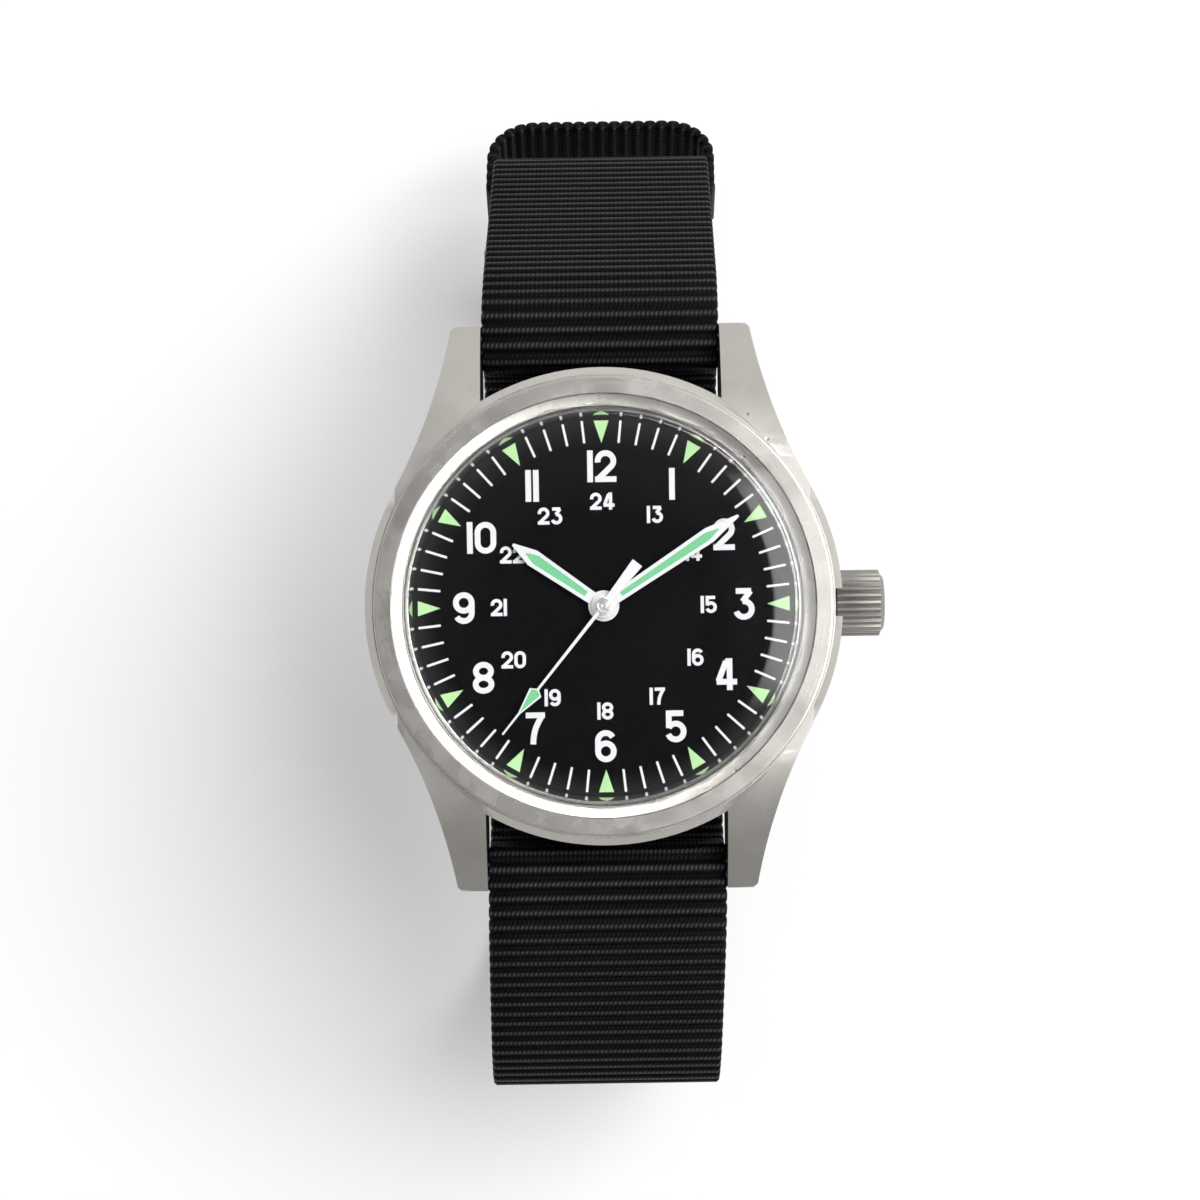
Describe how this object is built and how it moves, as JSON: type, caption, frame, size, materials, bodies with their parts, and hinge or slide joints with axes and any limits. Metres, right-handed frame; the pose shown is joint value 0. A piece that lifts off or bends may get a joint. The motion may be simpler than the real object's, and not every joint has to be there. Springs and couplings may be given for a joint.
{
  "type": "field watch",
  "caption": "Round hand-wound field watch with lumed hands, straight lugs and a fluted crown on a one-piece webbing strap closed by a tang buckle.",
  "frame": {"origin": "on the dial's axis, at the underside of the strap's lowest run, where the watch rests", "axes": "+Z along the dial's normal, +Y towards 12 o'clock, +X towards the crown at 3 o'clock"},
  "size_m": [0.0393, 0.0825, 0.0501],
  "materials": {
    "case_steel": "blasted satin",
    "bezel_steel": "circular brushing",
    "polished_steel": "polished",
    "crystal": "clear",
    "rubber": "matte",
    "dial_black": "matte",
    "hand_white": "satin",
    "lume": "matte",
    "movement_brass": "gilt",
    "bridge_nickel": "nickel plated",
    "ruby": "polished",
    "nylon": "ribbed webbing"
  },
  "bodies": {
    "case": {"case_middle": "case_steel", "bezel": "bezel_steel", "crystal": "crystal", "tension_ring": "polished_steel", "case_back": "case_steel", "case_back_gasket": "rubber", "movement_ring": "polished_steel", "dial": "dial_black", "crown_tube": "polished_steel", "main_plate": "bridge_nickel", "barrel_bridge": "bridge_nickel", "train_bridge": "bridge_nickel", "balance_cock": "bridge_nickel", "pallet_bridge": "bridge_nickel", "bridge_screws": "polished_steel", "jewels": "ruby", "mainspring": "polished_steel", "hairspring": "polished_steel", "spring_bar_12_tube": "polished_steel", "spring_bar_6_tube": "polished_steel", "strap": "nylon", "strap_keeper": "nylon"},
    "minute": {"cannon_pinion": "polished_steel", "minute_hand": "hand_white", "minute_hand_lume": "lume"},
    "minute_wheel": {"minute_wheel": "polished_steel"},
    "hour": {"hour_wheel": "movement_brass", "hour_hand": "hand_white", "hour_hand_lume": "lume"},
    "setting_wheel": {"setting_wheel": "polished_steel"},
    "seconds": {"fourth_wheel": "movement_brass", "seconds_hand": "hand_white", "seconds_hand_lume": "lume"},
    "third_wheel": {"third_wheel": "movement_brass"},
    "centre_wheel": {"centre_wheel": "movement_brass"},
    "barrel": {"mainspring_barrel": "movement_brass"},
    "escape_wheel": {"escape_wheel": "polished_steel"},
    "pallet_fork": {"pallet_fork": "polished_steel"},
    "balance": {"balance_wheel": "movement_brass"},
    "clutch": {"clutch_wheel": "polished_steel", "winding_pinion": "polished_steel"},
    "crown": {"crown": "case_steel", "winding_stem": "polished_steel", "crown_gasket": "rubber"},
    "crown_wheel": {"crown_wheel": "polished_steel"},
    "ratchet": {"ratchet_wheel": "polished_steel", "barrel_arbor": "polished_steel"},
    "click": {"click": "polished_steel"},
    "buckle": {"buckle_frame": "polished_steel", "buckle_bar": "polished_steel"},
    "tongue": {"buckle_tongue": "polished_steel"},
    "spring_bar_12_pin_right": {"spring_bar_12_pin_right": "polished_steel"},
    "spring_bar_12_pin_left": {"spring_bar_12_pin_left": "polished_steel"},
    "spring_bar_6_pin_right": {"spring_bar_6_pin_right": "polished_steel"},
    "spring_bar_6_pin_left": {"spring_bar_6_pin_left": "polished_steel"}
  },
  "joints": [
    {"name": "minute_turn", "type": "hinge", "parent": "case", "child": "minute", "pos_m": [0, 0, 0.04365], "axis": [0, 0, 1], "continuous": true},
    {"name": "minute_wheel_turn", "type": "hinge", "parent": "case", "child": "minute_wheel", "pos_m": [0.0015, 0.0026, 0.04365], "axis": [0, 0, 1], "continuous": true},
    {"name": "hour_turn", "type": "hinge", "parent": "case", "child": "hour", "pos_m": [0, 0, 0.04365], "axis": [0, 0, 1], "continuous": true},
    {"name": "setting_wheel_turn", "type": "hinge", "parent": "case", "child": "setting_wheel", "pos_m": [0.0051, 0.00156, 0.04365], "axis": [0, 0, 1], "continuous": true},
    {"name": "seconds_turn", "type": "hinge", "parent": "case", "child": "seconds", "pos_m": [0, 0, 0.04365], "axis": [0, 0, 1], "continuous": true},
    {"name": "third_wheel_turn", "type": "hinge", "parent": "case", "child": "third_wheel", "pos_m": [-0.00406, -0.00148, 0.04365], "axis": [0, 0, 1], "continuous": true},
    {"name": "centre_wheel_turn", "type": "hinge", "parent": "case", "child": "centre_wheel", "pos_m": [0, 0, 0.04365], "axis": [0, 0, 1], "continuous": true},
    {"name": "barrel_turn", "type": "hinge", "parent": "case", "child": "barrel", "pos_m": [0.00306, 0.00575, 0.04365], "axis": [0, 0, 1], "continuous": true},
    {"name": "escape_wheel_turn", "type": "hinge", "parent": "case", "child": "escape_wheel", "pos_m": [0.001, -0.00372, 0.04365], "axis": [0, 0, 1], "continuous": true},
    {"name": "pallet_rock", "type": "hinge", "parent": "case", "child": "pallet_fork", "pos_m": [0.00257, -0.0056, 0.04365], "axis": [0, 0, 1], "range_deg": [-5, 5]},
    {"name": "balance_swing", "type": "hinge", "parent": "case", "child": "balance", "pos_m": [0.0043, -0.0076, 0.04365], "axis": [0, 0, 1], "range_deg": [-270, 270]},
    {"name": "crown_turn", "type": "hinge", "parent": "case", "child": "clutch", "pos_m": [0.008, 0, 0.0447], "axis": [1, 0, 0], "continuous": true},
    {"name": "crown_pull", "type": "slide", "parent": "clutch", "child": "crown", "axis": [1, 0, 0], "range_m": [0, 0.0009]},
    {"name": "crown_wheel_turn", "type": "hinge", "parent": "case", "child": "crown_wheel", "pos_m": [0.0071, 0, 0.04365], "axis": [0, 0, 1], "continuous": true},
    {"name": "ratchet_turn", "type": "hinge", "parent": "case", "child": "ratchet", "pos_m": [0.00306, 0.00575, 0.04365], "axis": [0, 0, 1], "continuous": true},
    {"name": "click_swing", "type": "hinge", "parent": "case", "child": "click", "pos_m": [0.00466, 0.01006, 0.04365], "axis": [0, 0, 1], "range_deg": [0, 12]},
    {"name": "buckle_swing", "type": "hinge", "parent": "case", "child": "buckle", "pos_m": [0, 0.03225, 0.01126], "axis": [1, 0, 0], "range_deg": [0, 5]},
    {"name": "tongue_swing", "type": "hinge", "parent": "buckle", "child": "tongue", "pos_m": [0, 0.03225, 0.01126], "axis": [1, 0, 0], "range_deg": [0, 5]},
    {"name": "spring_bar_12_pin_right_press", "type": "slide", "parent": "case", "child": "spring_bar_12_pin_right", "axis": [-1, 0, 0], "range_m": [0, 0.0009], "stiffness_N_per_m": 500, "springref_m": -0.0005},
    {"name": "spring_bar_12_pin_left_press", "type": "slide", "parent": "case", "child": "spring_bar_12_pin_left", "axis": [1, 0, 0], "range_m": [0, 0.0009], "stiffness_N_per_m": 500, "springref_m": -0.0005},
    {"name": "spring_bar_6_pin_right_press", "type": "slide", "parent": "case", "child": "spring_bar_6_pin_right", "axis": [-1, 0, 0], "range_m": [0, 0.0009], "stiffness_N_per_m": 500, "springref_m": -0.0005},
    {"name": "spring_bar_6_pin_left_press", "type": "slide", "parent": "case", "child": "spring_bar_6_pin_left", "axis": [1, 0, 0], "range_m": [0, 0.0009], "stiffness_N_per_m": 500, "springref_m": -0.0005}
  ],
  "couplings": [
    {"joint": "minute_wheel_turn", "follows": "minute_turn", "ratio": -0.33333},
    {"joint": "hour_turn", "follows": "minute_turn", "ratio": 0.083333},
    {"joint": "setting_wheel_turn", "follows": "minute_turn", "ratio": 0.5},
    {"joint": "third_wheel_turn", "follows": "seconds_turn", "ratio": -0.13333},
    {"joint": "centre_wheel_turn", "follows": "seconds_turn", "ratio": 0.016667},
    {"joint": "barrel_turn", "follows": "seconds_turn", "ratio": -0.0027778},
    {"joint": "escape_wheel_turn", "follows": "seconds_turn", "ratio": -10},
    {"joint": "crown_wheel_turn", "follows": "crown_turn", "ratio": 0.44118},
    {"joint": "ratchet_turn", "follows": "crown_turn", "ratio": -0.375}
  ]
}
